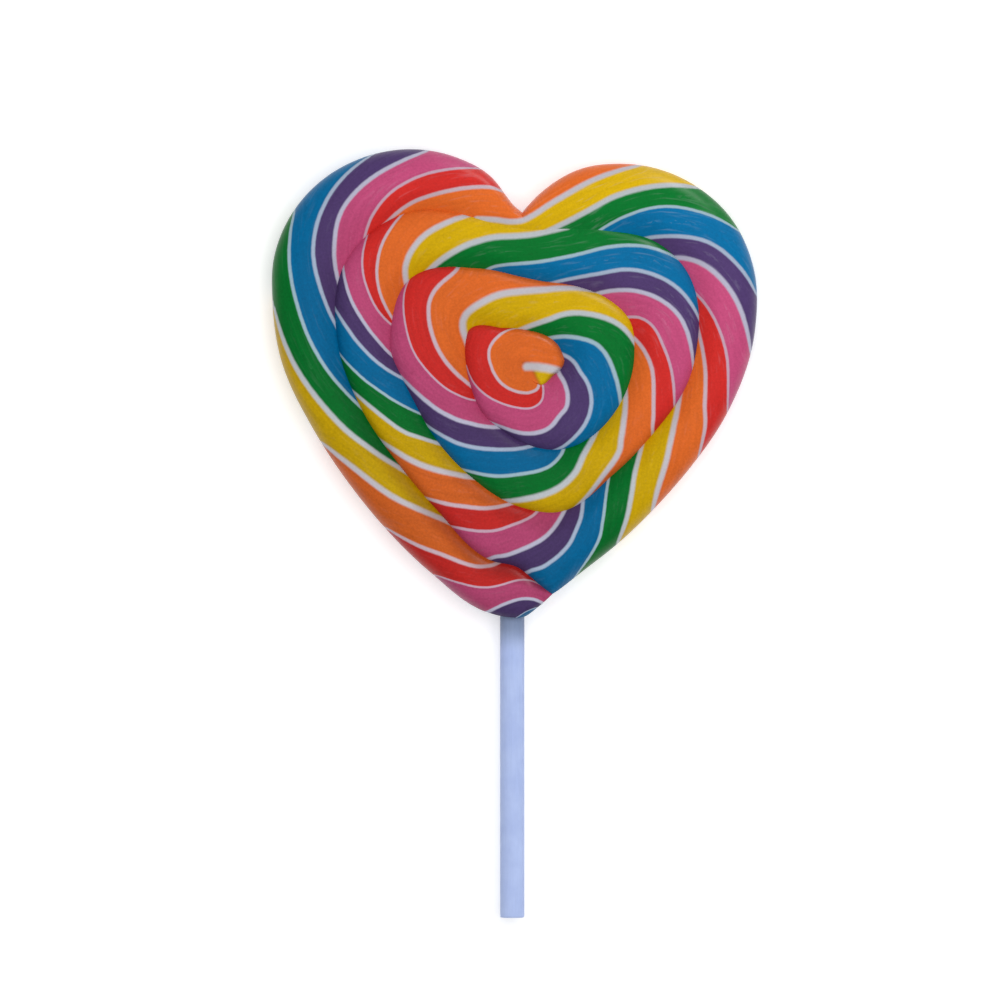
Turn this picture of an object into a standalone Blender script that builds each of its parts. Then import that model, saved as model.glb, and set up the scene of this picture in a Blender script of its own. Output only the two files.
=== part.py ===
"""A heart-shaped swirl lollipop, lying on its back.

One twisted rope of boiled sugar is wound outwards from the middle, anticlockwise, and pressed into a heart.
It ends at the heart's point, where a round stick goes in. The faces show the rope's turns as rounded coils
with a groove between each turn and the next.

The marks and sizes below are in millimetres, and MM turns them into metres. The shown face looks to +Z, the
notch between the lobes points to +Y, and the origin is on the resting plane, under the middle of the whole
object.
"""

import math

import bmesh
import bpy
import numpy as np

MM = 0.001

# Where the groove between two turns runs: (angle in degrees round the swirl, distance from its middle).
# The angle keeps growing from turn to turn. The groove comes out at the heart's edge at the last mark.
GROOVE = [
    (-83, 1.3), (-53, 1.6), (-41, 3.3), (-31, 3.8), (-18, 4.2), (-5, 4.9), (1, 5.6), (11, 6.5),
    (31, 6.9), (99, 7.2), (118, 8.2), (144, 11.5), (151, 11.1), (173, 9.8), (191, 9.3), (231, 9.9),
    (246, 10.2), (273, 12.1), (294, 14.0),
    (343, 16.6), (370, 18.3), (386, 19.2), (402, 18.1), (417, 16.6), (441, 15.2), (453, 15.7), (475, 18.8),
    (502, 24.4), (520, 23.4), (531, 22.4), (542, 20.4), (554, 19.0), (573, 18.4), (602, 19.4), (629, 22.4),
    (642, 23.7), (671, 22.3), (692, 23.2), (724, 28.0), (755, 31.3), (765, 30.3), (780, 26.8), (793, 24.6),
    (809, 23.4), (821, 24.8), (847, 32.7), (867, 34.7), (893, 30.9), (910, 28.0), (940, 25.8), (959, 27.2),
    (980, 31.6), (988, 32.3), (997, 36.9),
]
# The heart's edge in the last turn, from the end of the groove up the right side to the notch,
# and from the notch down the left side to the point, where the rope tapers out against its own last turn.
RIGHT_SIDE = [
    (997, 36.9), (1005, 34.5), (1020, 32.0), (1035, 31.0), (1050, 31.5), (1070, 34.3), (1090, 38.5),
    (1105, 41.5), (1117, 42.4), (1127, 41.7), (1137, 40.0), (1146, 37.6), (1155, 34.6), (1164, 30.2),
    (1171, 26.3),
]
LEFT_SIDE = [
    (1171, 26.3), (1174, 27.6), (1180, 32.8), (1187, 36.8), (1205, 43.8), (1223, 46.5), (1235, 45.6),
    (1245, 43.1), (1255, 40.8), (1275, 36.2), (1290, 34.5), (1305, 34.4), (1325, 36.6), (1341, 40.1),
    (1346, 40.5), (1350, 40.3), (1353, 38.9), (1357, 36.9),
]
ROPE_START = GROOVE[0][0]
STEP_OUT = 1.42              # where the rope's first turn steps out from the disc in its middle
LAST_TURN = RIGHT_SIDE[0][0]
NOTCH = LEFT_SIDE[0][0]
ROPE_END = LEFT_SIDE[-1][0]
TURN = 360

THICKNESS = 10.0
GROOVE_DEPTH = 1.5
GROOVE_FADE = (-58, 0)       # the groove grows from nothing between these angles
PRESSED_SHUT = (765, 790, 818, 842)   # angles between which the groove below the notch is nearly shut
PRESSED_SHARE = 0.75         # how much of that groove's depth is lost there
ROUNDNESS = (2.2, 5.0)       # how square a coil's inner and outer half are: 2 is a parabola
BACK_GROOVE_DEPTH = 0.8
BACK_FLAT = 0.4              # share of a coil's width that was pressed flat on the back
FULL_WIDTH = 7.0             # a rope narrower than this has a lower crown
RIM_LAND = 2.0               # height of the upright band round the heart's edge
RIM_ROUNDNESS = (2.2, 0.45)
RIM_BLEND = 12               # degrees over which the rim turns into the groove that leaves the heart's edge
BLUNT_POINT = 14             # degrees at the heart's point that keep their full height round the stick

STICK_DIAMETER = 4.0
STICK_LENGTH = 89.0
STICK_SHOWN = 49.5
STICK_SIDE = -2.1            # the stick's axis from the middle of the swirl
STICK_BEVEL = 0.25
STICK_BEVEL_STEPS = 2
STICK_SIDES = 32
SHARP_EDGE = math.radians(40)
GAP = 0.3                    # between the stick and its socket

COLUMNS_PER_SIDE = 36        # columns of faces in each half of a turn
FRONT_ROWS = (0, 0.07, 0.22, 0.5, 0.78, 0.93, 1)
BACK_ROWS = (0, 0.1, (1 - BACK_FLAT) / 2, (1 + BACK_FLAT) / 2, 0.9, 1)
WELD = 0.02 * MM

CANDY_COLOUR = (0.55, 0.10, 0.22, 1)
CANDY_ROUGHNESS = 0.3
STICK_COLOUR = (0.50, 0.58, 0.86, 1)
STICK_ROUGHNESS = 0.55


def clear_scene():
    for obj in list(bpy.data.objects):
        bpy.data.objects.remove(obj, do_unlink=True)


def new_collection(name):
    collection = bpy.data.collections.new(name)
    bpy.context.scene.collection.children.link(collection)
    return collection


def new_material(name, colour, roughness):
    material = bpy.data.materials.new(name)
    material.use_nodes = True
    shader = material.node_tree.nodes["Principled BSDF"]
    shader.inputs["Base Color"].default_value = colour
    shader.inputs["Roughness"].default_value = roughness
    shader.inputs["Metallic"].default_value = 0
    material.diffuse_color = colour
    return material


def curve_through(marks, angle):
    """The distance at this angle on a smooth curve through the marks."""
    x, y = np.array(marks, float).T
    step = np.diff(x)
    rise = np.diff(y) / step
    middle = (step[1:] * rise[:-1] + step[:-1] * rise[1:]) / (step[1:] + step[:-1])
    slope = np.concatenate([rise[:1], middle, rise[-1:]])
    i = min(max(int(np.searchsorted(x, angle)) - 1, 0), len(step) - 1)
    s = (angle - x[i]) / step[i]
    from_left = (1 + 2 * s) * (1 - s) ** 2 * y[i] + s * (1 - s) ** 2 * step[i] * slope[i]
    from_right = s * s * (3 - 2 * s) * y[i + 1] - s * s * (1 - s) * step[i] * slope[i + 1]
    return from_left + from_right


def outer_edge(angle):
    """How far the rope's outer edge is from the middle, which is also the next turn's inner edge."""
    if angle <= ROPE_START:
        return GROOVE[0][1]
    if angle <= LAST_TURN:
        groove = curve_through(GROOVE, angle)
        return groove if groove >= STEP_OUT else GROOVE[0][1]
    if angle <= NOTCH:
        return curve_through(RIGHT_SIDE, angle)
    return curve_through(LEFT_SIDE, angle)


def inner_edge(angle):
    return outer_edge(angle - TURN)


def ease(value, low, high):
    """0 up to low, 1 from high on, and smooth between them."""
    s = min(max((value - low) / (high - low), 0), 1)
    return s * s * (3 - 2 * s)


def rim_share(angle):
    """1 where the rope's outer edge is the heart's rounded rim, and 0 where it is a groove."""
    leaving = ease(angle, LAST_TURN, LAST_TURN + RIM_BLEND)
    blunt = ease(angle, ROPE_END - BLUNT_POINT - RIM_BLEND, ROPE_END - BLUNT_POINT)
    return leaving * (1 - blunt)


def groove_share(angle):
    """1 where the groove outside the rope at this angle has its full depth, and 0 where there is none."""
    closing, shut, open_again, opened = PRESSED_SHUT
    pressed = ease(angle, closing, shut) * (1 - ease(angle, open_again, opened))
    return ease(angle, *GROOVE_FADE) * (1 - PRESSED_SHARE * pressed)


def depth_below_crown(angle, across, groove_depth):
    """How far a face lies below the rope's crown: across runs from 0, its inner edge, to 1, its outer."""
    width = outer_edge(angle) - inner_edge(angle)
    fullness = ease(width, 0, FULL_WIDTH)
    inner_depth = groove_depth * groove_share(angle - TURN)
    outer_depth = groove_depth * groove_share(angle)
    rim = rim_share(angle)
    outer_depth += rim * ((THICKNESS - RIM_LAND) / 2 - outer_depth)
    crown = (1 - fullness) * min(inner_depth, outer_depth)
    u = abs(2 * across - 1)
    if across <= 0.5:
        return crown + (inner_depth - crown) * u ** ROUNDNESS[0]
    power = ROUNDNESS[1] + rim * (RIM_ROUNDNESS[0] - ROUNDNESS[1])
    root = 1 + rim * (RIM_ROUNDNESS[1] - 1)
    return crown + (outer_depth - crown) * (1 - (1 - u ** power) ** root)


def front_height(angle, across):
    return THICKNESS - depth_below_crown(angle, across, GROOVE_DEPTH)


def back_height(angle, across):
    """The back is like the front, but shallower, and its coils are pressed flat at their middles."""
    u = 2 * across - 1
    u = math.copysign(max(abs(u) - BACK_FLAT, 0) / (1 - BACK_FLAT), u)
    return depth_below_crown(angle, (u + 1) / 2, BACK_GROOVE_DEPTH)


def column_angles():
    """The angles of the columns of faces, four turns of them, each turn with a column on the notch."""
    to_notch = np.linspace(0, NOTCH - LAST_TURN, COLUMNS_PER_SIDE, endpoint=False)
    to_end = np.linspace(NOTCH - LAST_TURN, TURN, COLUMNS_PER_SIDE, endpoint=False)
    turn = np.concatenate([to_notch, to_end])
    turns = round((ROPE_END - ROPE_START) / TURN)
    angles = [ROPE_START + TURN * n + float(a) for n in range(turns) for a in turn]
    return angles + [ROPE_END]


def place(angle, distance, height, middle):
    turned = math.radians(angle)
    x = middle[0] + distance * math.cos(turned)
    y = middle[1] + distance * math.sin(turned)
    return (x * MM, y * MM, height * MM)


def add_face_of_rope(mesh, angles, rows, height, middle, upward):
    """One face of the wound rope, as a grid of angles by rows, and the small disc at its middle."""
    grid = []
    for angle in angles:
        inner, outer = inner_edge(angle), outer_edge(angle)
        grid.append([
            mesh.verts.new(place(angle, inner + (outer - inner) * t, height(angle, t), middle)) for t in rows
        ])
    for left, right in zip(grid, grid[1:]):
        for j in range(len(rows) - 1):
            corners = (left[j], left[j + 1], right[j + 1], right[j])
            mesh.faces.new(corners if upward else corners[::-1])
    first_turn = [column[0] for column in grid[:2 * COLUMNS_PER_SIDE]]
    mesh.faces.new(first_turn if upward else first_turn[::-1])
    return [column[-1] for column in grid]


def swirl_middle():
    """The middle of the swirl, placed so that the whole object's box is centred on the origin."""
    edge = [(outer_edge(a), math.radians(a)) for a in np.arange(LAST_TURN, ROPE_END, 0.5)]
    xs = [r * math.cos(a) for r, a in edge]
    ys = [r * math.sin(a) for r, a in edge]
    lowest = min(ys) - STICK_SHOWN
    return (-(min(xs) + max(xs)) / 2, -(lowest + max(ys)) / 2, min(ys))


def make_candy(collection, middle):
    angles = column_angles()
    bm = bmesh.new()
    front_edge = add_face_of_rope(bm, angles, FRONT_ROWS, front_height, middle, upward=True)
    back_edge = add_face_of_rope(bm, angles, BACK_ROWS, back_height, middle, upward=False)
    last = angles.index(LAST_TURN)
    for i in range(last, len(angles) - 1):
        bm.faces.new((back_edge[i], back_edge[i + 1], front_edge[i + 1], front_edge[i]))
    bmesh.ops.remove_doubles(bm, verts=bm.verts, dist=WELD)
    bmesh.ops.dissolve_degenerate(bm, edges=bm.edges, dist=WELD)
    bmesh.ops.triangulate(bm, faces=bm.faces)
    mesh = bpy.data.meshes.new("candy")
    bm.to_mesh(mesh)
    bm.free()
    mesh.shade_smooth()
    candy = bpy.data.objects.new("candy", mesh)
    candy.data.materials.append(new_material("twisted_candy", CANDY_COLOUR, CANDY_ROUGHNESS))
    collection.objects.link(candy)
    return candy


def make_rod(name, collection, diameter, from_y, to_y, middle):
    """A round rod along Y, at the stick's place and half way up the candy."""
    mesh = bpy.data.meshes.new(name)
    bm = bmesh.new()
    bmesh.ops.create_cone(
        bm, cap_ends=True, segments=STICK_SIDES, radius1=diameter / 2 * MM, radius2=diameter / 2 * MM,
        depth=(to_y - from_y) * MM,
    )
    bm.to_mesh(mesh)
    bm.free()
    rod = bpy.data.objects.new(name, mesh)
    rod.location = ((middle[0] + STICK_SIDE) * MM, (from_y + to_y) / 2 * MM, THICKNESS / 2 * MM)
    rod.rotation_euler = (math.radians(90), 0, 0)
    collection.objects.link(rod)
    return rod


def make_stick(collection, middle, from_y):
    stick = make_rod("stick", collection, STICK_DIAMETER, from_y, from_y + STICK_LENGTH, middle)
    bevel = stick.modifiers.new("rounded ends", "BEVEL")
    bevel.width = STICK_BEVEL * MM
    bevel.segments = STICK_BEVEL_STEPS
    bevel.limit_method = "ANGLE"
    bevel.angle_limit = SHARP_EDGE
    stick.data.shade_smooth()
    stick.data.set_sharp_from_angle(angle=SHARP_EDGE)
    stick.data.materials.append(new_material("pale_stick", STICK_COLOUR, STICK_ROUGHNESS))
    return stick


def cut_socket(candy, cutters, middle, from_y):
    """The hole that the stick fills, open at the heart's point."""
    socket_end = from_y + STICK_LENGTH + GAP
    socket = make_rod("stick_socket", cutters, STICK_DIAMETER + 2 * GAP, from_y, socket_end, middle)
    socket.hide_render = True
    socket.display_type = "WIRE"
    cut = candy.modifiers.new("stick socket", "BOOLEAN")
    cut.operation = "DIFFERENCE"
    cut.object = socket
    cut.solver = "EXACT"


def main():
    clear_scene()
    parts = new_collection("heart_lollipop")
    cutters = new_collection("cutters")
    middle_x, middle_y, point = swirl_middle()
    middle = (middle_x, middle_y)
    stick_foot = middle_y + point - STICK_SHOWN
    candy = make_candy(parts, middle)
    make_stick(parts, middle, stick_foot)
    cut_socket(candy, cutters, middle, stick_foot)


main()
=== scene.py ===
"""Looks of the heart-shaped swirl lollipop: its striped sugar, its paper stick, the table and the light.

The sugar is one twisted rope wound outwards from the middle and pressed into a heart. The same marks shape
it here as in the solid that it replaces, with many more rows and columns, so that the stripes run cleanly.
Sizes are in millimetres, and MM turns them into metres. Angles run on from turn to turn, in degrees.
"""

import math

import bmesh
import bpy
import numpy as np
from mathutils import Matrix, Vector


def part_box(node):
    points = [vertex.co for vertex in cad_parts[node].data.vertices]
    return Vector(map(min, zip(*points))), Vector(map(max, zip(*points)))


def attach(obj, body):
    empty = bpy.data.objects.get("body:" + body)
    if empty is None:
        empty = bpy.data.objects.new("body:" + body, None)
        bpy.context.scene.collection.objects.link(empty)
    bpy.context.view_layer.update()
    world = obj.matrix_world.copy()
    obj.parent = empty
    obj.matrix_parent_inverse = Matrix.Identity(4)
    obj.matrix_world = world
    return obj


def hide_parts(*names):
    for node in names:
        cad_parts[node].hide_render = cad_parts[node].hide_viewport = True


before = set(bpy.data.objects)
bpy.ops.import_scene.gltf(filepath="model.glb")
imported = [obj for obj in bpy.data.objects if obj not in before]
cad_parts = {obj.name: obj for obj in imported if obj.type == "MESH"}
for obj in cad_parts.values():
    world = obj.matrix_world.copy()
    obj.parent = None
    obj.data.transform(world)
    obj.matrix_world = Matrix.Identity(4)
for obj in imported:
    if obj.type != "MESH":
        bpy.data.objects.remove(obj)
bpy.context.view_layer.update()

MM = 0.001

# Where the groove between two turns runs: (angle round the swirl, distance from its middle).
GROOVE = [
    (-83, 1.3), (-53, 1.6), (-41, 3.3), (-31, 3.8), (-18, 4.2), (-5, 4.9), (1, 5.6), (11, 6.5),
    (31, 6.9), (99, 7.2), (118, 8.2), (144, 11.5), (151, 11.1), (173, 9.8), (191, 9.3), (231, 9.9),
    (246, 10.2), (273, 12.1), (294, 14.0),
    (343, 16.6), (370, 18.3), (386, 19.2), (402, 18.1), (417, 16.6), (441, 15.2), (453, 15.7), (475, 18.8),
    (502, 24.4), (520, 23.4), (531, 22.4), (542, 20.4), (554, 19.0), (573, 18.4), (602, 19.4), (629, 22.4),
    (642, 23.7), (671, 22.3), (692, 23.2), (724, 28.0), (755, 31.3), (765, 30.3), (780, 26.8), (793, 24.6),
    (809, 23.4), (821, 24.8), (847, 32.7), (867, 34.7), (893, 30.9), (910, 28.0), (940, 25.8), (959, 27.2),
    (980, 31.6), (988, 32.3), (997, 36.9),
]
# The heart's edge, from the end of the groove up the right side to the notch, and from there to the point.
RIGHT_SIDE = [
    (997, 36.9), (1005, 34.5), (1020, 32.0), (1035, 31.0), (1050, 31.5), (1070, 34.3), (1090, 38.5),
    (1105, 41.5), (1117, 42.4), (1127, 41.7), (1137, 40.0), (1146, 37.6), (1155, 34.6), (1164, 30.2),
    (1171, 26.3),
]
LEFT_SIDE = [
    (1171, 26.3), (1174, 27.6), (1180, 32.8), (1187, 36.8), (1205, 43.8), (1223, 46.5), (1235, 45.6),
    (1245, 43.1), (1255, 40.8), (1275, 36.2), (1290, 34.5), (1305, 34.4), (1325, 36.6), (1341, 40.1),
    (1346, 40.5), (1350, 40.3), (1353, 38.9), (1357, 36.9),
]
ROPE_START = GROOVE[0][0]
STEP_OUT = 1.42              # where the rope's first turn steps out from the disc in its middle
LAST_TURN = RIGHT_SIDE[0][0]
NOTCH = LEFT_SIDE[0][0]
ROPE_END = LEFT_SIDE[-1][0]
TURN = 360

THICKNESS = 10.0
GROOVE_DEPTH = 1.5
GROOVE_FADE = (-58, 0)                  # the angles over which the groove comes up at the rope's start
PRESSED_SHUT = (765, 790, 818, 842)     # where the groove below the notch is nearly pressed shut
PRESSED_SHARE = 0.75
ROUNDNESS = (2.2, 5.0)                  # of a coil's inner and outer half
BACK_GROOVE_DEPTH = 0.8
BACK_FLAT = 0.4                         # the share of a coil's width that is pressed flat
FULL_WIDTH = 7.0                        # a narrower coil is also lower
RIM_LAND = 2.0                          # the height of the upright band round the heart
RIM_ROUNDNESS = (2.2, 0.45)             # the power and the root in the rim's curve
RIM_BLEND = 12                          # the angle over which a coil's side turns into the rim
BLUNT_POINT = 14                        # the angle at the rope's end that has no rim
STICK_SHOWN = 49.5
EDGE_STEP = 0.5                         # the angle between the places where the heart's size is taken

COLUMNS_PER_SIDE = 240
FRONT_ROWS = 20
BACK_ROWS = 16
WALL_ROWS = 4
WELD = 0.004 * MM
SHARP_ANGLE = 32             # an edge that turns more than this isn't shaded smooth

# Each white line between two stripes, by the angles where it crosses the rope, from its inner edge to its
# outer edge at even steps. A line that runs along the rope has (angle, distance from the swirl's middle)
# marks, from its outer end to its inner end. The stripes between the lines take the colours in turn.
LINES = [
    [(0.5, 5.6), (5, 4.45), (11, 3.25), (23, 2.05), (40, 1.3), (70, 0.85)],
    [(98, 7.25), (113, 7.4), (129, 7.3), (145, 7.05), (174, 5.5), (202, 4.45), (245, 3.55), (284, 3.5),
     (309, 3.4), (318, 3.1)],
    [(174, 9.7), (191, 8.7), (209, 7.6), (231, 6.55), (256, 6.05), (281, 6.05), (291, 5.85), (298, 5.6),
     (304, 5.2), (312, 4.5), (322, 3.7)],
    (360, 339.5, 315.5, 285, 238),
    (384, 363, 348, 326, 292),
    (413, 395, 379, 360, 342),
    (454, 428.5, 413.5, 394, 375),
    (511, 492.5, 475, 449, 413),
    (554, 534.5, 514, 493.5, 482.5),
    (570, 559.5, 546, 524.5, 502),
    (604, 586.5, 573.5, 560, 543),
    (635, 615.5, 599.5, 585, 568.5),
    (656.5, 646, 627, 612.5, 597.5),
    (678, 665.5, 655.5, 637, 621.5),
    (708, 695, 685.5, 676.5, 653),
    (737, 725, 710.5, 701, 694),
    (748, 741.5, 728, 716, 707),
    (767, 758.5, 748, 737.5, 722),
    (792, 774.5, 764, 750.5, 737),
    (830, 814.5, 788.5, 775, 757),
    (852.5, 841.5, 831, 820, 797),
    (863, 857.5, 849.5, 839, 830.5),
    (878, 872.5, 865.5, 857.5, 848),
    (880.5, 877.5, 872.5, 866.5, 859),
    (893, 887.5, 882.5, 877, 870),
    (903, 898, 892.5, 887, 881.5),
    (922, 915, 908, 901.5, 894.5),
    (940, 932.5, 926, 915.5, 906.5),
    (963, 953.5, 945.5, 937, 926),
    (984, 975, 966.5, 959.5, 952),
    (995, 988, 980, 971.5, 964.5),
    [(978, 31.9), (980, 31.1), (984, 30.4), (988, 29.5), (992, 28.6), (996.5, 27.5), (1000, 26.3),
     (1003, 25.05), (1006.5, 23.4)],
    [(989.5, 33.4), (991.5, 32.8), (995, 32.3), (998, 31.5), (1001.5, 30.4), (1005, 29.0), (1008, 27.3),
     (1010.5, 26.0), (1014.5, 23.0)],
    (1028, 1022, 1017.5, 1013, 1003.5),
    (1047, 1037.5, 1031, 1025, 1018),
    (1070, 1059, 1049.5, 1040, 1032.5),
    (1093, 1080, 1070, 1063, 1053.5),
    (1104.5, 1096, 1087, 1077, 1068.5),
    (1117, 1111.5, 1103.5, 1094.5, 1084.5),
    (1127.5, 1121.5, 1115.5, 1107, 1098),
    (1142, 1137, 1130.5, 1121.5, 1113),
    (1159.5, 1149.5, 1143, 1135, 1126.5),
    [(1140.5, 39.2), (1145, 36.6), (1151, 33.2), (1156, 30.4), (1161.5, 27.9), (1167, 25.8),
     (1171, 24.9), (1175, 24.8), (1181, 25.5), (1187.5, 26.4)],
    (1212, 1197.5, 1187.5, 1180, 1177),
    (1220, 1211.5, 1200.5, 1190, 1182),
    (1234, 1226.5, 1218, 1203, 1193.5),
    (1246, 1237.5, 1229.5, 1218.5, 1204.5),
    (1272, 1261, 1249, 1235.5, 1224.5),
    (1299, 1287, 1276, 1261.5, 1244),
    (1322.5, 1312.5, 1302.5, 1289, 1279),
    (1342, 1336, 1327.5, 1319, 1307.5),
    (1353.5, 1348, 1341, 1333, 1325.5),
    [(1340, 40.6), (1345, 38.4), (1350, 37.35), (1353, 37.7), (1358, 40.5)],
    [(1345, 41.5), (1348.5, 40.3), (1350, 39.6), (1352, 39.0), (1358, 39.6)],
]
# Half widths of the lines that are wider or thinner than others of their colour.
ODD_HALVES = {
    0: 0.68, 1: 0.24, 2: 0.17, 5: 0.35, 7: 0.58, 9: 0.16, 13: 0.50, 20: 0.50, 22: 0.24, 23: 0.18,
    24: 0.27, 25: 0.28, 26: 0.22, 27: 0.33, 33: 0.25, 34: 0.40, 38: 0.41, 40: 0.24, 51: 0.17, 52: 0.25,
    53: 0.07,
}
POINT_LINES = 2              # the last lines, which arch over the heart's point and don't reach the back
# The rope's start is folded over, and orange inside these marks: (angle, distance from the middle).
FOLD = [(-42, 3.3), (-29, 2.15), (-15, 1.7), (0, 1.45), (40, 1.5), (112, 1.5)]
FAR = 5.0                    # a distance past any line's edge
PATH_STEPS = 40
PATH_TAIL = 1.5              # how far a crossing line's path is drawn on past the rope's edges
RIM_TAIL = 1.75              # and over the heart's upright edge, as a share of its height
LINES_ROUND = 5              # lines round the rope that show: two of the seven are hidden in the seams
BACK_STEP = 14               # degrees between the back's lines where the front has none to go on from
DISC_ROWS = 4

# Colours are linear: the stripe's, and that of the white line after it with its half width.
STRIPES = [
    ("yellow", (0.600, 0.375, 0.001), (0.54, 0.51, 0.55), 0.47),
    ("orange", (0.700, 0.135, 0.020), (0.57, 0.43, 0.49), 0.33),
    ("red", (0.590, 0.024, 0.020), (0.55, 0.36, 0.46), 0.24),
    ("pink", (0.500, 0.068, 0.180), (0.48, 0.47, 0.60), 0.35),
    ("purple", (0.072, 0.040, 0.138), (0.38, 0.46, 0.60), 0.32),
    ("blue", (0.0, 0.135, 0.320), (0.34, 0.48, 0.56), 0.29),
    ("green", (0.0, 0.152, 0.022), (0.50, 0.53, 0.56), 0.44),
]
FOLD_COLOUR = STRIPES[1][1]
# The whitish colour of the painted highlight dashes.
HIGHLIGHT_DASH_COLOUR = (0.55, 0.57, 0.66)
# The dark colour of the painted shadow in the fold's crease.
CREASE_SHADOW_COLOUR = (0.30, 0.06, 0.005)
PAINTED_SHADE_TINT = (0.42, 0.24, 0.18)            # the share of a colour that is left where shade is painted in the grooves and on the inner slopes

# The sugar's noises, by scale over a metre, detail and roughness. Those drawn out along the rope have scales
# for the way from a white line, for the line's number, across the rope and along it.
BLOTCHES = (170, 3, 0.6)
GRAIN = (2600, 2, 0.6)
STREAKS = ((1.7, 5, 1.3, 0.012), 4, 0.55)
DASHES = ((2, 7, 5, 0.06), 1, 0.6)
WOBBLES = ((350, 0.10), (1100, 0.08))    # scale, and how far it moves the edges of the white lines
WOBBLE_DETAIL = 1

# How much the noises change the sugar's brightness, roughness and relief.
STRIPE_BRIGHTNESS = 0.815
STRIPE_UNEVENNESS = {"streaks": 0.32, "blotches": 0.22, "grain": 0.4}
PAINTED_LIGHT_FALLOFF = 0.92                     # painted light: the change of the sugar's painted brightness over the picture's side, along the light
LINE_BRIGHTNESS = 0.96
LINE_UNEVENNESS = {"streaks": 0.15, "grain": 0.2}
SUGAR_ROUGHNESS = 0.36
ROUGHNESS_UNEVENNESS = {"blotches": 0.16, "grain": 0.1}
SUGAR_SPECULAR = 0.17
RELIEF = {"streaks": 0.5, "blotches": 0.5, "grain": 0.08}
SUGAR_BUMP = (0.3, 0.2 * MM)             # strength, and depth

# Where a change over the sugar begins and ends, then the shares there.
LINE_EDGE = (0.45, 1.5, 1.0, 0.0)        # by half widths from a white line's middle
FOLD_EDGE = (-0.3, 0.3, 1.0, 0.0)        # by the distance past the fold
CREASE_SHADOW = (0.0, 0.5, 0.4, 0.0)            # painted shadow in the crease, by the distance from the fold's edge
DASH_EDGE = (0.55, 0.85)                 # by the dashes' noise
PAINTED_HIGHLIGHT_RANGE = (0.12, 0.36, 0.03, 0.13)         # painted highlight dashes, by the way towards the light
GROOVE_SHADE = (0.0, 0.45, 0.1, 0.0)     # painted shade, by the distance from a groove
GROOVE_RAGGEDNESS = 0.15
INNER_SLOPE = (0.1, 0.4, 1.0, 0.0)       # by the place across the rope
SLOPE_SHADE = (-0.04, 0.06, 0.55, 0.12)  # painted shade on the inner slopes, by the way towards the light

PALE_STICK = (0.42, 0.52, 0.84)
PALER_STICK = (0.45, 0.55, 0.85)
# The candy's shadow on the stick's top, painted as a darker colour.
SHADOWED_STICK = (0.17, 0.22, 0.33)
CANDY_SHADOW_ON_STICK = (6, 1)                           # where the painted shadow begins and is full, below the heart's point
CANDY_SHADOW_SHARE = 0.8
FIBRE_SCALES = (2600.0, 160.0, 2600.0)   # across the stick, along it and through it, over a metre
FIBRES = (1.0, 3, 0.6)                   # scale, detail and roughness
FIBRE_UNEVENNESS = 0.16
MOTTLE = (260, 3, 0.6)
MOTTLE_UNEVENNESS = 0.12
MOTTLE_EDGE = (0.3, 0.7)
PAPER_ROUGHNESS = 0.55
PAPER_ROUGHNESS_UNEVENNESS = 0.2
PAPER_SPECULAR = 0.25
PAPER_BUMP = (0.3, 0.04 * MM)            # strength, and depth

# The table, in metres, and its look.
TABLE_HALF = 6.0
TABLE_TOP = -0.02 * MM
TABLE_MOTTLE = (14, 3)                   # scale and detail
TABLE_WHITES = ((0.80, 0.80, 0.80), (0.82, 0.82, 0.82))
TABLE_ROUGHNESS = 0.9
TABLE_GLOW = 0.4

# The square lamps: name, place and width in metres, power, and whether they light gloss and the rest.
WINDOW = (0.50, 0.95, 0.35)
LAMPS = [
    ("soft_light_above", (0.06, 0.05, 0.55), 0.5, 2.9, False, True),
    ("gleam_of_a_window", WINDOW, 0.35, 6, True, False),
    ("window_light", WINDOW, 0.35, 0.8, False, True),
]
ROOM_LIGHT = 0.24
WHITE = (1, 1, 1, 1)

CAMERA_HEIGHT = 2000.0
SHOWN_SIDE = 165.0           # the picture's side, at the height of the heart's edge
PICTURE_MIDDLE = (-4.125, -21.12)
SENSOR = 36.0
CLIP_END = 20                # in metres
PAINTED_LIGHT_SIDE = (0.5, 0.85)     # painted light: the side that the sugar's colour is painted brighter towards


def curve_through(marks, angles, arched_ends=False):
    """The distances at these angles on a smooth curve through the marks."""
    x, y = np.array(marks, float).T
    step = np.diff(x)
    rise = np.diff(y) / step
    middle = (step[1:] * rise[:-1] + step[:-1] * rise[1:]) / (step[1:] + step[:-1])
    first, last = rise[0], rise[-1]
    if arched_ends:
        first, last = 2 * rise[0] - middle[0], 2 * rise[-1] - middle[-1]
    slope = np.concatenate([[first], middle, [last]])
    i = np.clip(np.searchsorted(x, angles) - 1, 0, len(step) - 1)
    s = (angles - x[i]) / step[i]
    from_left = (1 + 2 * s) * (1 - s) ** 2 * y[i] + s * (1 - s) ** 2 * step[i] * slope[i]
    from_right = s * s * (3 - 2 * s) * y[i + 1] - s * s * (1 - s) * step[i] * slope[i + 1]
    return from_left + from_right


def outer_edge(angles):
    """How far the rope's outer edge is from the middle, which is also the next turn's inner edge."""
    groove = curve_through(GROOVE, np.clip(angles, ROPE_START, LAST_TURN))
    groove = np.where(groove < STEP_OUT, GROOVE[0][1], groove)
    right = curve_through(RIGHT_SIDE, np.clip(angles, LAST_TURN, NOTCH))
    left = curve_through(LEFT_SIDE, np.clip(angles, NOTCH, ROPE_END))
    return np.where(angles <= LAST_TURN, groove, np.where(angles <= NOTCH, right, left))


def inner_edge(angles):
    return outer_edge(angles - TURN)


def ease(value, low, high):
    """0 up to low, 1 from high on, and smooth between them."""
    s = np.clip((value - low) / (high - low), 0, 1)
    return s * s * (3 - 2 * s)


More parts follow.
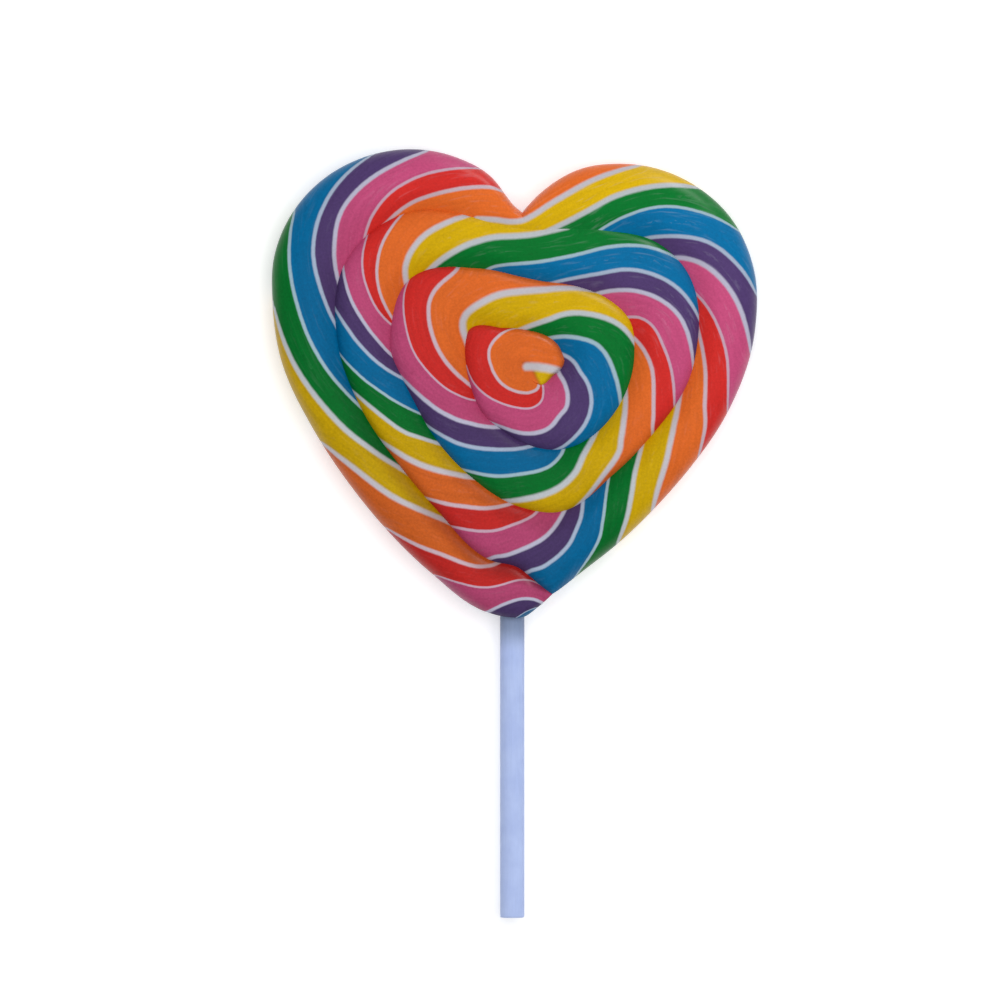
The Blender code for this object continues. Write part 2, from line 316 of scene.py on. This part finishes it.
def rim_share(angles):
    """1 where the rope's outer edge is the heart's rounded rim, and 0 where it is a groove."""
    leaving = ease(angles, LAST_TURN, LAST_TURN + RIM_BLEND)
    blunt = ease(angles, ROPE_END - BLUNT_POINT - RIM_BLEND, ROPE_END - BLUNT_POINT)
    return leaving * (1 - blunt)


def groove_share(angles):
    """1 where the groove outside the rope at these angles has its full depth, and 0 where there is none."""
    closing, shut, open_again, opened = PRESSED_SHUT
    pressed = ease(angles, closing, shut) * (1 - ease(angles, open_again, opened))
    return ease(angles, *GROOVE_FADE) * (1 - PRESSED_SHARE * pressed)


def depth_below_crown(angles, across, groove_depth):
    """How far a face lies below the rope's crown: across runs from 0, its inner edge, to 1, its outer."""
    fullness = ease(outer_edge(angles) - inner_edge(angles), 0, FULL_WIDTH)
    inner_depth = groove_depth * groove_share(angles - TURN)
    outer_depth = groove_depth * groove_share(angles)
    rim = rim_share(angles)
    outer_depth = outer_depth + rim * ((THICKNESS - RIM_LAND) / 2 - outer_depth)
    crown = (1 - fullness) * np.minimum(inner_depth, outer_depth)
    u = np.abs(2 * across - 1)
    power = ROUNDNESS[1] + rim * (RIM_ROUNDNESS[0] - ROUNDNESS[1])
    root = 1 + rim * (RIM_ROUNDNESS[1] - 1)
    inside = crown + (inner_depth - crown) * u ** ROUNDNESS[0]
    outside = crown + (outer_depth - crown) * (1 - (1 - u ** power) ** root)
    return np.where(across <= 0.5, inside, outside)


def front_height(angles, across):
    return THICKNESS - depth_below_crown(angles, across, GROOVE_DEPTH)


def back_height(angles, across):
    """The back is like the front, but shallower, and its coils are pressed flat at their middles."""
    u = 2 * across - 1
    u = np.sign(u) * np.maximum(np.abs(u) - BACK_FLAT, 0) / (1 - BACK_FLAT)
    return depth_below_crown(angles, (u + 1) / 2, BACK_GROOVE_DEPTH)


def swirl_middle():
    """The middle of the swirl, where the solid has it."""
    angles = np.arange(LAST_TURN, ROPE_END, EDGE_STEP)
    distances = outer_edge(angles)
    xs = distances * np.cos(np.radians(angles))
    ys = distances * np.sin(np.radians(angles))
    lowest = ys.min() - STICK_SHOWN
    return -(xs.min() + xs.max()) / 2, -(lowest + ys.max()) / 2


def column_angles():
    """The angles of the columns of faces, four turns of them, each turn with a column on the notch."""
    to_notch = np.linspace(0, NOTCH - LAST_TURN, COLUMNS_PER_SIDE, endpoint=False)
    to_end = np.linspace(NOTCH - LAST_TURN, TURN, COLUMNS_PER_SIDE, endpoint=False)
    turn = np.concatenate([to_notch, to_end])
    turns = round((ROPE_END - ROPE_START) / TURN)
    angles = [ROPE_START + TURN * n + turn for n in range(turns)]
    return np.concatenate(angles + [[ROPE_END]])


def rows_across(count):
    """Places across the rope, closer together towards its edges, where it is steeper."""
    return (1 - np.cos(np.pi * np.arange(count + 1) / count)) / 2


def line_angles(line, across):
    """The angles at which a white line crosses the rope at these places across it."""
    return curve_through(list(zip(np.linspace(0, 1, len(line)), line)), across, arched_ends=True)


def distance_on_rope(angles, across):
    inner, outer = inner_edge(angles), outer_edge(angles)
    return inner + (outer - inner) * across


def in_plane(angles, distances):
    """Places in the plane, from the swirl's middle, in millimetres."""
    turned = np.radians(angles)
    return np.stack([distances * np.cos(turned), distances * np.sin(turned)], axis=-1)


def in_space(angles, distances, heights):
    return np.concatenate([in_plane(angles, distances), heights[..., None]], axis=-1)


def over_rim(edge):
    """Where a path goes on from this place at the heart's edge, up or down the upright band."""
    return edge + np.array([0, 0, (THICKNESS - 2 * edge[2]) * RIM_TAIL])


class CrossingLine:
    """A white line across the rope, given by its angles from the rope's inner edge to its outer edge."""

    def __init__(self, marks, half, height):
        self.marks = marks
        self.half = half
        self.inner_angle, self.outer_angle = marks[0], marks[-1]
        across = np.linspace(0, 1, PATH_STEPS)
        angles = line_angles(marks, across)
        path = in_space(angles, distance_on_rope(angles, across), height(angles, across))
        start, end = path[0] - path[1], path[-1] - path[-2]
        start = path[0] + PATH_TAIL * start / np.linalg.norm(start)
        end = path[-1] + PATH_TAIL * end / np.linalg.norm(end)
        if self.outer_angle >= LAST_TURN:
            end = over_rim(path[-1])
        self.path = np.concatenate([[start], path, [end]])

    def is_before(self, angles, across, distances):
        return angles >= line_angles(self.marks, across)


class SweepingLine:
    """A line along the rope, given by its angles and distances from its outer end to its inner end."""

    def __init__(self, marks, half=0.0, height=None):
        self.marks = marks
        self.half = half
        self.outer_angle, self.inner_angle = marks[0][0], marks[-1][0]
        angles = np.linspace(self.outer_angle, self.inner_angle, PATH_STEPS)
        distances = curve_through(marks, angles)
        self.path = in_plane(angles, distances)
        if height is None:
            return
        inner, outer = inner_edge(angles), outer_edge(angles)
        at_rim = self.outer_angle >= LAST_TURN
        distances = np.minimum(distances, outer) if at_rim else distances
        across = np.clip((distances - inner) / (outer - inner), 0, 1)
        path = in_space(angles, distances, height(angles, across))
        self.path = np.concatenate([[over_rim(path[0])], path]) if at_rim else path

    def is_before(self, angles, across, distances):
        clipped = np.clip(angles, self.outer_angle, self.inner_angle)
        beside = distances > curve_through(self.marks, clipped)
        return (angles > self.inner_angle) | (angles >= self.outer_angle) & beside


def front_lines():
    lines = []
    for number, marks in enumerate(LINES):
        half = ODD_HALVES.get(number, STRIPES[number % len(STRIPES)][-1])
        kind = SweepingLine if isinstance(marks, list) else CrossingLine
        at_point = number >= len(LINES) - POINT_LINES
        lines.append(kind(marks, half, None if at_point else front_height))
    return lines


def back_lines(front):
    """The back's lines, which go on round the rope from the front's outer edge as the twist carries them.
    Each ends where the front has the inner end of the line that is LINES_ROUND before it."""
    front = front[:-POINT_LINES]
    lines = []
    for number in range(len(front) + LINES_ROUND):
        spare = max(number - len(front) + 1, 0)
        outer = front[number - spare].outer_angle + BACK_STEP * spare
        earlier = number - LINES_ROUND
        inner = front[max(earlier, 0)].inner_angle + BACK_STEP * min(earlier, 0)
        half = STRIPES[number % len(STRIPES)][-1]
        lines.append(CrossingLine((inner, (inner + outer) / 2, outer), half, back_height))
    return lines


def distance_to_path(points, path):
    """How far each point is from a path of straight steps."""
    start, step = path[:-1], np.diff(path, axis=0)
    apart = points[:, None] - start[None]
    share = (apart * step).sum(axis=-1) / (step ** 2).sum(axis=-1)
    apart = apart - np.clip(share, 0, 1)[..., None] * step
    return np.sqrt((apart ** 2).sum(axis=-1).min(axis=1))


def past_one(line, angles, across, distances, heights):
    """How far each place is past this line, in millimetres, and below zero before it."""
    points = in_space(angles, distances, heights)[:, :line.path.shape[1]]
    distance = distance_to_path(points, line.path)
    return np.where(line.is_before(angles, across, distances), distance, -distance)


def past_line(lines, numbers, places):
    """How far each place is past the line that its number names."""
    found = np.zeros(numbers.shape)
    for number, line in enumerate(lines):
        here = numbers == number
        if here.any():
            found[here] = past_one(line, *(values[here] for values in places))
    return found


def past_fold(places):
    """How far each place is past the folded start of the rope."""
    found = np.full(places[0].shape, FAR)
    here = places[0] < FOLD[-1][0]
    if here.any():
        found[here] = past_one(SweepingLine(FOLD), *(values[here] for values in places))
    return found


def face_corners(grid):
    """The four corners of each face of a grid, in the order that its faces take them."""
    return np.stack([grid[:-1, :-1], grid[:-1, 1:], grid[1:, 1:], grid[1:, :-1]], axis=-1)


def groove_distance(angles, across):
    """How far each place on the rope is from the nearest groove, in millimetres."""
    width = outer_edge(angles) - inner_edge(angles)
    to_inner = width * across + FAR * (1 - groove_share(angles - TURN))
    to_outer = width * (1 - across) + FAR * (1 - groove_share(angles) * (1 - rim_share(angles)))
    return np.minimum(to_inner, to_outer)


def painted(angles, across, distances, heights, lines):
    """The facts that the sugar's colours are made from, for each face corner of a grid of places."""
    from_groove = face_corners(groove_distance(angles, across))
    corners = [face_corners(grid) for grid in (angles, across, distances, heights)]
    centres = [corner.mean(axis=-1) for corner in corners]
    count = sum(line.is_before(*centres[:3]).astype(int) for line in lines)
    before = np.clip(count - 1, 0, len(lines) - 1)
    after = np.clip(count, 0, len(lines) - 1)
    nearer = np.abs(past_line(lines, before, centres)) < np.abs(past_line(lines, after, centres))
    number = np.broadcast_to(np.where(nearer, before, after)[..., None], corners[0].shape)
    return {
        "line": number,
        "past_line": past_line(lines, number, corners),
        "line_half": np.array([line.half for line in lines])[number],
        "past_fold": past_fold(corners),
        "from_groove": from_groove,
        "angle": corners[0],
        "across": corners[1],
    }


def rope_places(angles, rows):
    """Angles, places across and distances of a grid on the rope."""
    shape = (len(angles), len(rows))
    angles, across = np.broadcast_to(angles[:, None], shape), np.broadcast_to(rows[None], shape)
    return angles, across, distance_on_rope(angles, across)


def disc_places(angles):
    """Angles, places across and distances of a grid on the small disc inside the rope's first turn."""
    share = np.linspace(0, 1, DISC_ROWS)
    shape = (len(angles), len(share))
    angles, share = np.broadcast_to(angles[:, None], shape), np.broadcast_to(share[None], shape)
    return angles, np.zeros(shape), share * inner_edge(angles)


def grid_faces(shape, first, flipped=False):
    number = first + np.arange(shape[0] * shape[1]).reshape(shape)
    corners = face_corners(number).reshape(-1, 4)
    return corners[:, ::-1] if flipped else corners


def upright_band(angles):
    """The grid between the heart's front and back edges, from the back up, with its heights."""
    rim_angles = angles[angles >= LAST_TURN]
    share = np.linspace(0, 1, WALL_ROWS + 1)
    shape = (len(rim_angles), len(share))
    places = (
        np.broadcast_to(rim_angles[:, None], shape),
        np.ones(shape),
        np.broadcast_to(outer_edge(rim_angles)[:, None], shape),
    )
    top, bottom = front_height(rim_angles, 1.0), back_height(rim_angles, 1.0)
    return places, bottom[:, None] + (top - bottom)[:, None] * share[None]


def swirl_grids():
    """The grids that make up the swirl, each with its heights, its lines and whether its faces turn over."""
    angles = column_angles()
    first_turn = angles[:2 * COLUMNS_PER_SIDE + 1]
    front = front_lines()
    back = back_lines(front)
    for rows, height, disc_height, lines, flipped in (
        (rows_across(FRONT_ROWS), front_height, THICKNESS, front, False),
        (rows_across(BACK_ROWS), back_height, 0.0, back, True),
    ):
        places = rope_places(angles, rows)
        yield places, height(*places[:2]), lines, flipped
        places = disc_places(first_turn)
        yield places, np.full(places[0].shape, disc_height), lines, flipped
    places, heights = upright_band(angles)
    yield places, heights, front, True


def weld(mesh):
    """Joins the grids where they meet, so that the mesh is closed."""
    bm = bmesh.new()
    bm.from_mesh(mesh)
    bmesh.ops.remove_doubles(bm, verts=bm.verts, dist=WELD)
    bmesh.ops.dissolve_degenerate(bm, edges=bm.edges, dist=WELD)
    bmesh.ops.triangulate(bm, faces=[face for face in bm.faces if len(face.verts) > 4])
    bm.to_mesh(mesh)
    bm.free()


def make_swirl(middle):
    """The striped sugar as one closed mesh, with the painted facts on its face corners."""
    points, faces, facts = [], [], []
    for places, heights, lines, flipped in swirl_grids():
        flat = in_plane(places[0], places[2]) + np.array(middle)
        faces.append(grid_faces(places[0].shape, sum(len(p) for p in points), flipped))
        points.append(np.concatenate([flat, heights[..., None]], axis=-1).reshape(-1, 3))
        found = painted(*places, heights, lines)
        found = {name: values.reshape(-1, 4) for name, values in found.items()}
        facts.append({name: values[:, ::-1] if flipped else values for name, values in found.items()})

    mesh = bpy.data.meshes.new("striped_sugar")
    mesh.from_pydata(np.concatenate(points) * MM, [], np.concatenate(faces).tolist())
    for name in facts[0]:
        values = np.concatenate([group[name].ravel() for group in facts])
        layer = mesh.attributes.new(name, "FLOAT", "CORNER")
        layer.data.foreach_set("value", values.astype(np.float32))
    weld(mesh)
    mesh.shade_smooth()
    mesh.set_sharp_from_angle(angle=math.radians(SHARP_ANGLE))
    return mesh


class Value:
    """A shader socket that takes part in Python expressions."""

    def __init__(self, board, socket):
        self.board = board
        self.socket = socket

    def math(self, operation, *others):
        return self.board.node("ShaderNodeMath", {"operation": operation}, self, *others)

    def __add__(self, other):
        return self.math("ADD", other)

    def __radd__(self, other):
        return self.math("ADD", other)

    def __sub__(self, other):
        return self.math("SUBTRACT", other)

    def __rsub__(self, other):
        return self.board.node("ShaderNodeMath", {"operation": "SUBTRACT"}, other, self)

    def __mul__(self, other):
        return self.math("MULTIPLY", other)

    def __rmul__(self, other):
        return self.math("MULTIPLY", other)

    def __truediv__(self, other):
        return self.math("DIVIDE", other)

    def __rtruediv__(self, other):
        return self.board.node("ShaderNodeMath", {"operation": "DIVIDE"}, other, self)

    def uneven(self, width):
        """A noise moved to lie about 0, this wide."""
        return (self - 0.5) * width

    def dot(self, direction):
        made = self.board.node("ShaderNodeVectorMath", {"operation": "DOT_PRODUCT"}, self, direction)
        return Value(self.board, made.socket.node.outputs["Value"])


class Board:
    """The nodes of one material."""

    def __init__(self, name):
        self.material = bpy.data.materials.new(name)
        self.material.use_nodes = True
        self.tree = self.material.node_tree
        self.shader = self.tree.nodes["Principled BSDF"]

    def set(self, socket, value):
        if isinstance(value, Value):
            self.tree.links.new(value.socket, socket)
        else:
            socket.default_value = value

    def node(self, kind, settings=None, *values, out=0, **named):
        """One node: its settings first, then the values or links of its sockets, in order or by name."""
        made = self.tree.nodes.new(kind)
        for name, setting in (settings or {}).items():
            if name == "stops":
                self.set_stops(made.color_ramp, setting)
            else:
                setattr(made, name, setting)
        for socket, value in zip(made.inputs, values):
            self.set(socket, value)
        for name, value in named.items():
            self.set(made.inputs[name.replace("_", " ")], value)
        return Value(self, made.outputs[out])

    def set_stops(self, ramp, stops):
        """The stops of a ramp, as (place, colour) pairs in order, after its way of blending."""
        ramp.interpolation = stops["blend"]
        pairs = stops["at"]
        ramp.elements[0].position = pairs[0][0]
        ramp.elements[0].color = (*pairs[0][1], 1)
        ramp.elements[1].position = pairs[1][0]
        ramp.elements[1].color = (*pairs[1][1], 1)
        for place, colour in pairs[2:]:
            ramp.elements.new(place).color = (*colour, 1)

    def fact(self, name):
        return self.node("ShaderNodeAttribute", {"attribute_name": name}, out="Fac")

    def mix(self, share, first, second):
        """A blend of two colours: the first where share is 0, the second where it is 1."""
        made = self.tree.nodes.new("ShaderNodeMix")
        made.data_type = "RGBA"
        for name, value in (("Factor_Float", share), ("A_Color", first), ("B_Color", second)):
            socket = next(s for s in made.inputs if s.identifier == name)
            self.set(socket, (*value, 1) if isinstance(value, tuple) else value)
        return Value(self, next(s for s in made.outputs if s.identifier == "Result_Color"))

    def times(self, colour, factor):
        """A colour made lighter or darker by a number."""
        return self.scaled(colour, self.place(factor, factor, factor))

    def smooth(self, value, low, high, to_low=0.0, to_high=1.0):
        """to_low where value is at low, to_high where it is at high, and smooth between them."""
        settings = {"interpolation_type": "SMOOTHSTEP"}
        return self.node("ShaderNodeMapRange", settings, value, low, high, to_low, to_high)

    def noise(self, place, scale, detail, roughness=0.5):
        return self.node(
            "ShaderNodeTexNoise", {"noise_dimensions": "3D"},
            Vector=place, Scale=scale, Detail=detail, Roughness=roughness,
        )

    def steps(self, share, colours):
        """The colours in turn, each for an equal part of the way from 0 to 1."""
        pairs = [(n / len(colours), colour) for n, colour in enumerate(colours)]
        return self.node("ShaderNodeValToRGB", {"stops": {"blend": "CONSTANT", "at": pairs}}, share)

    def place(self, x, y, z):
        return self.node("ShaderNodeCombineXYZ", None, x, y, z)

    def scaled(self, colour, factors):
        """A colour or a place with each of its three parts times its own factor."""
        return self.node("ShaderNodeVectorMath", {"operation": "MULTIPLY"}, colour, factors)

    def bump(self, height, strength, distance):
        return self.node("ShaderNodeBump", None, Strength=strength, Distance=distance, Height=height)


def summed(noises, widths):
    """The named noises, each about 0 and as wide as it says, added up."""
    first, *others = [noises[name].uneven(width) for name, width in widths.items()]
    for other in others:
        first = first + other
    return first


def drawn_out(board, past, number, scales, detail, roughness):
    """A noise that is drawn out along the rope, and differs from one white line to the next."""
    beside, from_line, across, along = scales
    spot = board.place(
        past * beside + number * from_line, board.fact("across") * across, board.fact("angle") * along,
    )
    return board.noise(spot, 1.0, detail, roughness)


def coloured_stripes(board, past, number):
    """The stripes' colours in turn, a new one past each white line."""
    after = past.math("GREATER_THAN", 0.0)
    turn = ((number + after + 0.5) / len(STRIPES)).math("FRACT")
    return board.steps(turn, [colour for _, colour, _, _ in STRIPES])


def painted_highlight_dashes(board, colour, past, number, towards_painted_light):
    """Painted highlights: short whitish dashes on the colour, most of them towards the light."""
    dashes = drawn_out(board, past, number, *DASHES)
    share = board.smooth(dashes, *DASH_EDGE) * board.smooth(towards_painted_light, *PAINTED_HIGHLIGHT_RANGE)
    return board.mix(share, colour, HIGHLIGHT_DASH_COLOUR)


def folded_start(board, colour, wobble, brightness):
    """The rope's folded start, with painted shadow in the crease along its edge."""
    past = board.fact("past_fold") + wobble
    fold = board.times(FOLD_COLOUR, brightness)
    colour = board.mix(board.smooth(past, *FOLD_EDGE), colour, fold)
    # Painted shadow: a dark line along the fold's crease.
    return board.mix(board.smooth(past.math("ABSOLUTE"), *CREASE_SHADOW), colour, CREASE_SHADOW_COLOUR)


def white_lines(board, colour, past, number, brightness):
    """The white lines over the stripes, each with its own tint and width."""
    share = board.smooth(past.math("ABSOLUTE") / board.fact("line_half"), *LINE_EDGE)
    turn = ((number + 0.5) / len(STRIPES)).math("FRACT")
    white = board.steps(turn, [white for _, _, white, _ in STRIPES])
    return board.mix(share, colour, board.times(white, brightness))


def painted_groove_and_slope_shade(board, colour, grain, towards_painted_light):
    """Painted shade: the colour darkened to brown in the grooves and on the coils' inner slopes, least
    towards the light.
    """
    from_groove = board.fact("from_groove") + grain.uneven(GROOVE_RAGGEDNESS)
    slope = board.smooth(board.fact("across"), *INNER_SLOPE) * board.smooth(towards_painted_light, *SLOPE_SHADE)
    share = board.smooth(from_groove, *GROOVE_SHADE) + slope
    return board.mix(share, colour, board.scaled(colour, PAINTED_SHADE_TINT))


def boiled_sugar():
    """Stripes of coloured sugar with white lines between them, under a soft gloss."""
    board = Board("striped_boiled_sugar")
    spot = board.node("ShaderNodeTexCoord", out="Object")
    number = board.fact("line")
    coarse, fine = [board.noise(spot, scale, WOBBLE_DETAIL).uneven(width) for scale, width in WOBBLES]
    wobble = coarse + fine
    past = board.fact("past_line") + wobble
    # Painted light: how far a place lies towards the side that the light comes from, over the picture's
    # side.
    towards_painted_light = spot.dot((*PAINTED_LIGHT_SIDE, 0.0)) / (SHOWN_SIDE * MM)
    noises = {
        "streaks": drawn_out(board, past, number, *STREAKS),
        "blotches": board.noise(spot, *BLOTCHES),
        "grain": board.noise(spot, *GRAIN),
    }

    # The brightness holds painted light, brighter towards the upper right, besides the sugar's uneven tone.
    brightness = STRIPE_BRIGHTNESS + summed(noises, STRIPE_UNEVENNESS) + towards_painted_light * PAINTED_LIGHT_FALLOFF
    colour = board.times(coloured_stripes(board, past, number), brightness)
    # Painted highlight: whitish dashes on the sugar, mostly towards the light.
    colour = painted_highlight_dashes(board, colour, past, number, towards_painted_light)
    colour = folded_start(board, colour, wobble, brightness)
    colour = white_lines(board, colour, past, number, LINE_BRIGHTNESS + summed(noises, LINE_UNEVENNESS))
    # Painted shade in the grooves and on the coils' inner slopes.
    colour = painted_groove_and_slope_shade(board, colour, noises["grain"], towards_painted_light)

    board.set(board.shader.inputs["Base Color"], colour)
    roughness = SUGAR_ROUGHNESS + summed(noises, ROUGHNESS_UNEVENNESS)
    board.set(board.shader.inputs["Roughness"], roughness)
    board.set(board.shader.inputs["Specular IOR Level"], SUGAR_SPECULAR)
    streaks, blotches, grain = [noises[name] * share for name, share in RELIEF.items()]
    board.set(board.shader.inputs["Normal"], board.bump(streaks + blotches + grain, *SUGAR_BUMP))
    return board.material


def rolled_paper():
    """The stick's pale blue paper: fine fibres along it, a painted shadow of the candy at its top, and a
    matt finish.
    """
    board = Board("rolled_paper")
    spot = board.node("ShaderNodeTexCoord", out="Object")
    along = board.node("ShaderNodeSeparateXYZ", None, spot, out="Y")
    fibres = board.noise(board.scaled(spot, FIBRE_SCALES), *FIBRES)
    mottle = board.noise(spot, *MOTTLE)
    shade = 1 + fibres.uneven(FIBRE_UNEVENNESS) + mottle.uneven(MOTTLE_UNEVENNESS)
    tint = board.mix(board.smooth(mottle, *MOTTLE_EDGE), PALE_STICK, PALER_STICK)
    # Painted shadow of the candy on the stick's top.
    begins, full = [(FOOT + STICK_SHOWN - below) * MM for below in CANDY_SHADOW_ON_STICK]
    tint = board.mix(board.smooth(along, begins, full) * CANDY_SHADOW_SHARE, tint, SHADOWED_STICK)
    board.set(board.shader.inputs["Base Color"], board.times(tint, shade))
    roughness = PAPER_ROUGHNESS + fibres.uneven(PAPER_ROUGHNESS_UNEVENNESS)
    board.set(board.shader.inputs["Roughness"], roughness)
    board.set(board.shader.inputs["Specular IOR Level"], PAPER_SPECULAR)
    board.set(board.shader.inputs["Normal"], board.bump(fibres, *PAPER_BUMP))
    return board.material


def pale_table():
    board = Board("pale_table")
    spot = board.node("ShaderNodeTexCoord", out="Object")
    white = board.mix(board.noise(spot, *TABLE_MOTTLE), *TABLE_WHITES)
    board.set(board.shader.inputs["Base Color"], white)
    board.set(board.shader.inputs["Roughness"], TABLE_ROUGHNESS)
    board.set(board.shader.inputs["Specular IOR Level"], 0.0)
    board.set(board.shader.inputs["Emission Color"], WHITE)
    board.set(board.shader.inputs["Emission Strength"], TABLE_GLOW)
    return board.material


def add_table():
    mesh = bpy.data.meshes.new("table")
    low, high = -TABLE_HALF, TABLE_HALF
    corners = [(low, low, 0), (high, low, 0), (high, high, 0), (low, high, 0)]
    mesh.from_pydata(corners, [], [(0, 1, 2, 3)])
    table = bpy.data.objects.new("table", mesh)
    table.location.z = TABLE_TOP
    mesh.materials.append(pale_table())
    bpy.context.scene.collection.objects.link(table)


def add_lamp(name, place, width, power):
    """A square soft lamp at this place, in metres, aimed at the heart."""
    lamp = bpy.data.lights.new(name, "AREA")
    lamp.size = width
    lamp.energy = power
    holder = bpy.data.objects.new(name, lamp)
    x, y, z = place
    holder.location = place
    aim = math.atan2(math.hypot(x, y), z)
    holder.rotation_euler = (aim, 0, math.atan2(x, -y))
    bpy.context.scene.collection.objects.link(holder)
    return holder


def add_light():
    for name, place, width, power, for_gloss, for_the_rest in LAMPS:
        lamp = add_lamp(name, place, width, power)
        lamp.visible_glossy = for_gloss
        lamp.visible_diffuse = for_the_rest
    world = bpy.data.worlds.new("room")
    world.use_nodes = True
    world.node_tree.nodes["Background"].inputs["Color"].default_value = WHITE
    world.node_tree.nodes["Background"].inputs["Strength"].default_value = ROOM_LIGHT
    bpy.context.scene.world = world


def add_camera(middle):
    camera = bpy.data.cameras.new("camera")
    camera.sensor_width = SENSOR
    rim_height = THICKNESS / 2
    camera.lens = SENSOR * (CAMERA_HEIGHT - rim_height) / SHOWN_SIDE
    camera.clip_end = CLIP_END
    holder = bpy.data.objects.new("camera", camera)
    x, y = middle[0] + PICTURE_MIDDLE[0], middle[1] + PICTURE_MIDDLE[1]
    holder.location = (x * MM, y * MM, CAMERA_HEIGHT * MM)
    bpy.context.scene.collection.objects.link(holder)
    bpy.context.scene.camera = holder


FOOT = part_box("stick")[0].y / MM
MIDDLE = swirl_middle()

swirl = bpy.data.objects.new("striped_candy", make_swirl(MIDDLE))
swirl.data.materials.append(boiled_sugar())
bpy.context.scene.collection.objects.link(swirl)
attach(swirl, "root")
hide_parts("candy")

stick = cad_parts["stick"]
stick.data.materials.clear()
stick.data.materials.append(rolled_paper())

add_table()
add_light()
add_camera(MIDDLE)
bpy.context.scene.view_settings.view_transform = "Standard"
